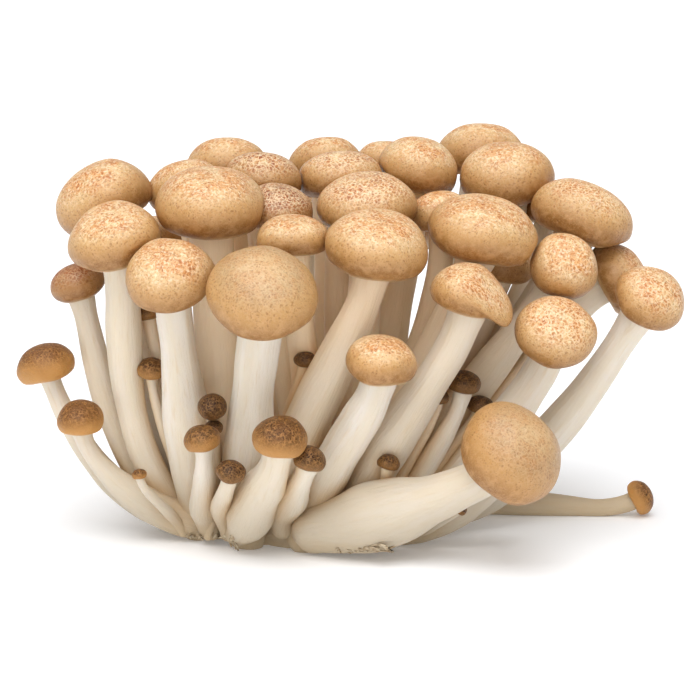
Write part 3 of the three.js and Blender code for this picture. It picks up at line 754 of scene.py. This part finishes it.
YOUNG = {
    "darkest": (0.027, 0.009, 0.002),
    "brown": (0.135, 0.046, 0.009),
    "dust": (0.22, 0.09, 0.028),
    "margin": (0.59, 0.295, 0.085),
    "cracks": (0.56, 0.275, 0.085),
}
TAN = {
    "gold": (0.81, 0.525, 0.25),
    "pale gold": (0.88, 0.655, 0.38),
    "plain": (0.46, 0.29, 0.135),
    "shaded flank": (0.54, 0.285, 0.085),
    "low flank": (0.3, 0.13, 0.028),
    "rim": (0.7, 0.47, 0.23),
    "clouds": (0.6, 0.34, 0.14),
    "grain": (0.54, 0.31, 0.13),
    "flecks": (0.95, 0.78, 0.54),
    "net": (0.96, 0.79, 0.53),
}
# Colours that the tan is multiplied by.
TINT = {
    "wash": (0.87, 0.62, 0.39),
    "mottle": (0.74, 0.49, 0.27),
    "scales": (0.55, 0.34, 0.2),
    "shade": (0.52, 0.34, 0.21),
    "dots": (0.5, 0.36, 0.22),
    "crevice_shade": (0.86, 0.67, 0.44),
}
GILLS = ((0.78, 0.66, 0.5), (0.66, 0.52, 0.36))
CREAM = {
    "pale": (0.82, 0.752, 0.66),
    "deep": (0.78, 0.69, 0.55),
    "streaks": (0.7, 0.55, 0.35),
    "warm": (0.74, 0.6, 0.41),
    "foot": (0.62, 0.51, 0.36),
    "low": (0.53, 0.455, 0.345),
    "inside": (0.99, 0.79, 0.54),
    "painted shade under caps": (0.98, 0.72, 0.46),
    "brown stem": (0.76, 0.57, 0.35),
    "earth": (0.56, 0.43, 0.26),
    "cut edge": (0.5, 0.38, 0.23),
}
DRY = {"brown": (0.36, 0.26, 0.15), "cream": (0.66, 0.56, 0.4), "spots": (0.16, 0.09, 0.045)}
PAPER = ((0.92, 0.93, 0.95), (0.94, 0.95, 0.97))


class Nodes:
    """Short calls for building a material."""

    def __init__(self, name):
        self.material = bpy.data.materials.new(name)
        self.material.use_nodes = True
        self.tree = self.material.node_tree
        self.shader = self.tree.nodes["Principled BSDF"]

    def node(self, kind, **values):
        node = self.tree.nodes.new(kind)
        for key, value in values.items():
            setattr(node, key, value)
        return node

    def link(self, source, target):
        if isinstance(source, (int, float)):
            target.default_value = source
        elif isinstance(source, tuple):
            target.default_value = source if len(source) == len(target.default_value) else (*source, 1)
        else:
            self.tree.links.new(source, target)

    def surface(self, inputs):
        """Links or sets inputs of the material's shader."""
        for name, source in inputs.items():
            self.link(source, self.shader.inputs[name])

    def attribute(self, name, output="Fac"):
        return self.node("ShaderNodeAttribute", attribute_name=name).outputs[output]

    def object_place(self):
        return self.node("ShaderNodeTexCoord").outputs["Object"]

    def math(self, operation, *sources):
        node = self.node("ShaderNodeMath", operation=operation)
        for number, source in enumerate(sources):
            self.link(source, node.inputs[number])
        return node.outputs[0]

    def times(self, a, b):
        return self.math("MULTIPLY", a, b)

    def plus(self, a, b):
        return self.math("ADD", a, b)

    def minus(self, a, b):
        return self.math("SUBTRACT", a, b)

    def larger(self, a, b):
        return self.math("MAXIMUM", a, b)

    def vector(self, operation, a, b):
        node = self.node("ShaderNodeVectorMath", operation=operation)
        self.link(a, node.inputs[0])
        self.link(b, node.inputs["Scale"] if operation == "SCALE" else node.inputs[1])
        return node.outputs[0]

    def step(self, value, low, high, to_low=0.0, to_high=1.0):
        """A value that changes smoothly from one to another while its source goes from low to high."""
        node = self.node("ShaderNodeMapRange", interpolation_type="SMOOTHSTEP")
        for number, source in enumerate((value, low, high, to_low, to_high)):
            self.link(source, node.inputs[number])
        return node.outputs[0]

    def noise(self, vector, scale, detail=3.0, rough=0.5, output="Fac"):
        node = self.node("ShaderNodeTexNoise")
        self.link(vector, node.inputs["Vector"])
        node.inputs["Scale"].default_value = scale
        node.inputs["Detail"].default_value = detail
        node.inputs["Roughness"].default_value = rough
        return node.outputs[output]

    def voronoi(self, vector, scale, feature="F1", output="Distance"):
        node = self.node("ShaderNodeTexVoronoi", feature=feature)
        self.link(vector, node.inputs["Vector"])
        node.inputs["Scale"].default_value = scale
        return node.outputs[output]

    def cells(self, vector, scale):
        """The distance to the borders of irregular cells."""
        return self.voronoi(vector, scale, "DISTANCE_TO_EDGE")

    def mix(self, share, a, b, blend="MIX"):
        node = self.node("ShaderNodeMix", data_type="RGBA", blend_type=blend)
        self.link(share, node.inputs[0])
        self.link(a, node.inputs[6])
        self.link(b, node.inputs[7])
        return node.outputs[2]

    def bump(self, height, distance, strength):
        node = self.node("ShaderNodeBump")
        node.inputs["Strength"].default_value = strength
        node.inputs["Distance"].default_value = distance
        self.link(height, node.inputs["Height"])
        return node.outputs[0]


def young_flesh(n, skin, place, apex, slow, grain):
    """A dark crown in small scales with paler cracks, and a tan margin."""
    dark = n.attribute("dark")
    coarse = n.step(n.cells(place, 1.5), 0.03, 0.2, 1, 0)
    fine = n.step(n.cells(place, 3), 0.03, 0.2, 0.55, 0)
    broken = n.step(n.noise(skin, 1.4, 3), 0.38, 0.62, 0.25, 1)
    lines = n.larger(n.times(coarse, broken), n.times(fine, n.step(grain, 0.4, 0.6)))
    # The dark number darkens the crown: partly browner flesh, partly painted shade on young caps that stand
    # in shadow.
    shade = n.minus(n.noise(skin, 0.9, 4, 0.6), n.times(dark, 0.8))
    flesh = n.mix(n.step(shade, 0.2, 0.9), YOUNG["darkest"], YOUNG["brown"])
    flesh = n.mix(n.step(grain, 0.45, 0.65, 0, 0.3), flesh, YOUNG["dust"])
    rim = n.step(n.plus(apex, n.times(slow, 0.3)), 0.5, 1)
    flesh = n.mix(n.times(rim, n.step(dark, -0.3, 0.5, 1, 0.25)), flesh, YOUNG["margin"])
    veins = n.times(lines, n.step(apex, 0.45, 0.95, 0.6, 0.1))
    veins = n.times(veins, n.step(dark, 0.2, 0.6, 1, 0.5))
    return n.mix(veins, flesh, YOUNG["cracks"]), lines


def grown_flesh(n, skin, place, apex, slow, grain):
    """Golden flesh, palest above and darker below in painted shade, with a pale margin and a speckled, netted
    crown.
    """
    dark = n.attribute("dark")
    crackle = n.attribute("crackle")
    flesh = n.mix(n.step(slow, 0.3, 0.7), TAN["gold"], TAN["pale gold"])
    plain = n.times(n.step(crackle, -0.1, -0.35), n.step(apex, 0, 0.45, 0.45, 1))
    flesh = n.mix(plain, flesh, TAN["plain"])
    # Painted shade: the flesh darkens down the cap's sides and is darkest low down, as on a dome lit from
    # above.
    flesh = n.mix(n.step(apex, 0.27, 0.6, 0, 0.88), flesh, TAN["shaded flank"])
    flesh = n.mix(n.step(apex, 0.52, 0.84), flesh, TAN["low flank"])
    flesh = n.mix(n.step(apex, 0.9, 0.99, 0, 0.7), flesh, TAN["rim"])
    flesh = n.mix(n.step(n.noise(skin, 0.6, 4, 0.6), 0.4, 0.68, 0, 0.55), flesh, TAN["clouds"])
    flesh = n.mix(n.step(grain, 0.46, 0.64, 0, 0.42), flesh, TAN["grain"])
    # Orange-brown blotches in a pale net round the crown.
    net = n.step(n.cells(place, 1.25), 0.03, 0.2)
    wash = n.step(n.noise(skin, 0.34, 4, 0.55), 0.34, 0.58)
    wash = n.times(wash, n.step(crackle, -0.35, -0.1, 0.3, 1))
    blotch = n.step(n.noise(place, 0.75, 5, 0.6), 0.42, 0.56)
    crown = n.plus(n.step(apex, 0.2, 0.7, 0.74, 0.1), n.times(crackle, 0.42))
    crown = n.plus(crown, n.times(n.minus(n.noise(skin, 0.22, 3), 0.5), 1.9))
    crown = n.times(n.step(crown, 0.22, 0.75), n.step(apex, 0.3, 0.75, 1, 0))
    mottle = n.times(n.times(net, crown), n.math("MULTIPLY_ADD", blotch, 0.75, 0.25))
    flesh = n.mix(n.times(crown, wash), flesh, TINT["wash"], "MULTIPLY")
    mottle = n.times(mottle, n.step(crackle, -0.35, -0.1, 0.35, 0.85))
    flesh = n.mix(mottle, flesh, TINT["mottle"], "MULTIPLY")
    scales = n.times(n.step(crackle, 0.2, 0.8), n.step(apex, 0.25, 0.7, 1, 0))
    scales = n.times(scales, n.step(n.cells(place, 0.95), 0.05, 0.16))
    flesh = n.mix(n.times(scales, wash), flesh, TINT["scales"], "MULTIPLY")
    flecks = n.times(n.step(n.noise(place, 1.7, 3), 0.5, 0.62), n.step(apex, 0.3, 0.65, 0.55, 0))
    flecks = n.times(flecks, n.step(crackle, -0.35, -0.1, 0.12, 1))
    flesh = n.mix(flecks, flesh, TAN["flecks"])
    # Darker caps: partly browner flesh, partly painted shade on caps that stand in shadow behind others, most
    # at the crown.
    shaded = n.times(n.step(dark, 0, 0.7), n.step(apex, 0.4, 0.8, 1, 0.3))
    flesh = n.mix(shaded, flesh, TINT["shade"], "MULTIPLY")
    pale = n.times(n.minus(1, net), n.step(apex, 0.35, 0.75, 0.34, 0))
    pale = n.times(pale, n.step(crackle, -0.35, 0.8, 0.3, 1.8))
    flesh = n.mix(n.times(pale, n.step(grain, 0.4, 0.55, 0.4, 1)), flesh, TAN["net"])
    # Fine brown dots over the upper half, large and small.
    patch = n.plus(n.noise(skin, 0.3, 3), n.times(crackle, 0.2))
    many = n.step(n.minus(patch, n.times(n.step(apex, 0.35, 0.9), 0.6)), -0.08, 0.32)
    large = n.step(n.plus(n.voronoi(place, 1.3, "F1", "Color"), many), 0.75, 1.2)
    large = n.times(n.step(n.voronoi(place, 1.3), 0.08, 0.38, 1, 0), large)
    small = n.step(n.plus(n.voronoi(place, 2.1, "F1", "Color"), many), 0.8, 1.3)
    small = n.times(n.step(n.voronoi(place, 2.1), 0.1, 0.42, 1, 0), small)
    dots = n.larger(large, n.times(small, 0.75))
    strong = n.times(dots, n.step(crackle, -0.1, -0.35, 0.68, 0.6))
    return n.mix(strong, flesh, TINT["dots"], "MULTIPLY"), n.larger(dots, n.times(mottle, 0.5))


def cap_skin(name, young):
    """The skin of a cap, with its gills. Its attributes are stored on each cap by cap_piece."""
    n = Nodes(name)
    skin = n.attribute("skin", "Vector")
    apex = n.attribute("apex")
    middling = n.vector("SUBTRACT", n.noise(skin, 0.7, 2, 0.5, "Color"), (0.5, 0.5, 0.5))
    place = n.vector("ADD", skin, n.vector("SCALE", middling, 1.1))
    slow = n.noise(skin, 0.16, 2)
    grain = n.noise(skin, 3.2, 4, 0.65)
    paint = young_flesh if young else grown_flesh
    colour, pits = paint(n, skin, place, apex, slow, grain)
    gills = n.mix(n.step(n.noise(skin, 0.8, 2), 0.3, 0.7), *GILLS)
    height = n.plus(n.times(grain, 0.5), n.times(n.noise(skin, 0.6, 4, 0.55), 1.6))
    height = n.minus(height, n.times(pits, 0.3 if young else 0.12))
    n.surface({
        "Base Color": n.mix(n.attribute("gill"), colour, gills),
        "Roughness": n.step(n.plus(n.noise(skin, 0.8, 3), n.times(pits, 0.25)), 0.2, 1, 0.33, 0.52),
        "Normal": n.bump(height, 0.2 * MM, 0.8),
        "Specular IOR Level": 0.28 if young else 0.52,
        "Subsurface Weight": 0.18,
        "Subsurface Radius": (1, 0.5, 0.25),
        "Subsurface Scale": 1.4 * MM,
    })
    return n.material


def stem_skin():
    """Cream flesh with fibres along it, browner towards the cut, with painted shade low down, in the crevices
    and under the caps, and painted warm bounce light inside the bunch.
    """
    n = Nodes("stem_flesh")
    fibre = n.attribute("fibre", "Vector")
    rise = n.attribute("rise")
    tone = n.attribute("tone")
    height = n.attribute("height")
    inside = n.attribute("inside")
    streak = n.noise(fibre, 1.3, 5, 0.6)
    broad = n.noise(fibre, 0.35, 3, 0.5)
    fine = n.noise(fibre, 4.5, 4, 0.6)
    flesh = n.mix(n.step(broad, 0.3, 0.7), CREAM["pale"], CREAM["deep"])
    flesh = n.mix(n.step(streak, 0.52, 0.74, 0, 0.45), flesh, CREAM["streaks"])
    warm = n.times(n.step(tone, -1, 1, 0, 0.35), n.step(rise, 0.03, 0.2))
    flesh = n.mix(warm, flesh, CREAM["warm"])
    flesh = n.mix(n.step(rise, 0.02, 0.5, 0.5, 0), flesh, CREAM["foot"])
    # Painted shade: the stems grow darker low down, towards the floor.
    flesh = n.mix(n.step(height, 0, 26, 0.9, 0), flesh, CREAM["low"])
    # Painted warm bounce light: the shaded flesh inside the bunch turns lighter and more orange.
    flesh = n.mix(n.step(inside, 0.15, 0.6, 0, 0.8), flesh, CREAM["inside"])
    # Painted shade under the caps: browner flesh high up inside the bunch.
    deep = n.times(n.step(inside, 0.1, 0.45), n.step(height, 30, 55, 0, 0.6))
    flesh = n.mix(deep, flesh, CREAM["painted shade under caps"])
    flesh = n.mix(n.times(n.step(tone, 1, 2), n.step(broad, 0.3, 0.7, 0.9, 0.5)), flesh, CREAM["brown stem"])
    # Painted shade in the crevices where two stems stand close, weaker near the cut.
    crevice_shade = n.times(n.attribute("crevice_shade"), n.step(height, 0, 16, 0.45, 0.85))
    flesh = n.mix(crevice_shade, flesh, TINT["crevice_shade"], "MULTIPLY")
    earth = n.plus(height, n.times(n.minus(broad, 0.5), 6))
    flesh = n.mix(n.step(earth, 0.2, 6, 0.6, 0), flesh, CREAM["earth"])
    flesh = n.mix(n.step(height, 0.02, 0.12, 1, 0), flesh, CREAM["cut edge"])
    grain = n.plus(n.plus(n.times(streak, 0.8), n.times(fine, 0.3)), n.times(broad, 0.8))
    n.surface({
        "Base Color": flesh,
        "Roughness": n.step(fine, 0.2, 0.8, 0.42, 0.6),
        "Normal": n.bump(grain, 0.35 * MM, 0.8),
        "Specular IOR Level": 0.4,
        "Subsurface Weight": 0.25,
        "Subsurface Radius": (1, 0.7, 0.45),
        "Subsurface Scale": 1.6 * MM,
    })
    return n.material


def scrap_skin():
    """Dry, torn skin: brown and cream, dull."""
    n = Nodes("dry_skin")
    place = n.vector("SCALE", n.object_place(), 1 / MM)
    flesh = n.mix(n.step(n.noise(place, 0.5, 4), 0.35, 0.65), DRY["brown"], DRY["cream"])
    n.surface({
        "Base Color": n.mix(n.step(n.noise(place, 1.6, 4), 0.48, 0.68, 0, 0.6), flesh, DRY["spots"]),
        "Roughness": n.step(n.noise(place, 3, 3), 0.2, 0.8, 0.6, 0.85),
        "Normal": n.bump(n.noise(place, 2, 5, 0.6), 0.2 * MM, 0.9),
    })
    return n.material


def paper_skin():
    """The white floor, with a faint glow of painted light that lightens the shadows on it."""
    n = Nodes("paper")
    n.surface({
        "Base Color": n.mix(n.noise(n.object_place(), 40, 3), *PAPER),
        "Roughness": 0.8,
        "Specular IOR Level": 0.2,
        # Painted light: the floor glows faintly, so that shadows on it stay pale.
        "Emission Color": (1, 1, 1),
        "Emission Strength": 0.12,
    })
    return n.material


# The cluster

draw = np.random.default_rng(GROWTH_SEED)
mushrooms = [Mushroom(i + 1, *row) for i, row in enumerate(MUSHROOMS)]
make_room(mushrooms)

stems = stems_piece(mushrooms, draw)
stems.data.materials.clear()
stems.data.materials.append(stem_skin())
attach(stems, "root")
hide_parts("stems")

scraps = scraps_piece(stems, np.random.default_rng(SCRAPS_SEED))
scraps.data.materials.append(scrap_skin())
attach(scraps, "root")

tan_skin = cap_skin("cap_skin_tan", False)
brown_skin = cap_skin("cap_skin_brown", True)
for m in mushrooms:
    cap = cap_piece(m, mushrooms, draw)
    cap.data.materials.append(brown_skin if m.young else tan_skin)
    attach(cap, "root")
    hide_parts(f"cap_{m.number:02d}")

# Floor, light and camera

corners = [(x * FLOOR_REACH, y * FLOOR_REACH, FLOOR_LEVEL) for x, y in ((-1, -1), (1, -1), (1, 1), (-1, 1))]
floor = mesh_object("floor", corners, [(0, 1, 2, 3)])
floor.data.materials.append(paper_skin())

world = bpy.data.worlds.new("studio")
bpy.context.scene.world = world
world.use_nodes = True
background = world.node_tree.nodes["Background"]
background.inputs["Color"].default_value = (1, 1, 1, 1)
background.inputs["Strength"].default_value = WORLD_STRENGTH


def lamp(name, kind, toward, **values):
    """A lamp that shines this way, at the middle of the cluster."""
    light = bpy.data.lights.new(name, kind)
    for key, value in values.items():
        setattr(light, key, value)
    holder = bpy.data.objects.new(name, light)
    aim = unit(np.array(toward, float))
    side = unit(np.cross(aim, [0.001, 0, 1]))
    turn = np.eye(4)
    turn[:3, :3] = np.stack([side, np.cross(side, aim), -aim], 1)
    turn[:3, 3] = -LAMP_DISTANCE * aim + (0, 0, LAMP_AIM)
    holder.matrix_world = Matrix(turn.tolist())
    holder.visible_camera = False
    bpy.context.scene.collection.objects.link(holder)


lamp("overhead", "SUN", (0.1, 0.35, -1), energy=2.5, angle=math.radians(60))
lamp("front", "AREA", (0.2, 1, -0.55), energy=1.4, size=0.7, shape="DISK")

camera_data = bpy.data.cameras.new("camera")
camera_data.sensor_width = SENSOR
camera_data.lens = SENSOR * DISTANCE / VIEW_WIDTH
camera_data.clip_start = 0.05
camera_data.clip_end = 20
camera = bpy.data.objects.new("camera", camera_data)
pose = np.eye(4)
pose[:3, :3] = np.stack([RIGHT, UPWARD, -AHEAD], 1)
pose[:3, 3] = EYE * MM
camera.matrix_world = Matrix(pose.tolist())
bpy.context.scene.collection.objects.link(camera)
bpy.context.scene.camera = camera
bpy.context.scene.view_settings.view_transform = "Standard"
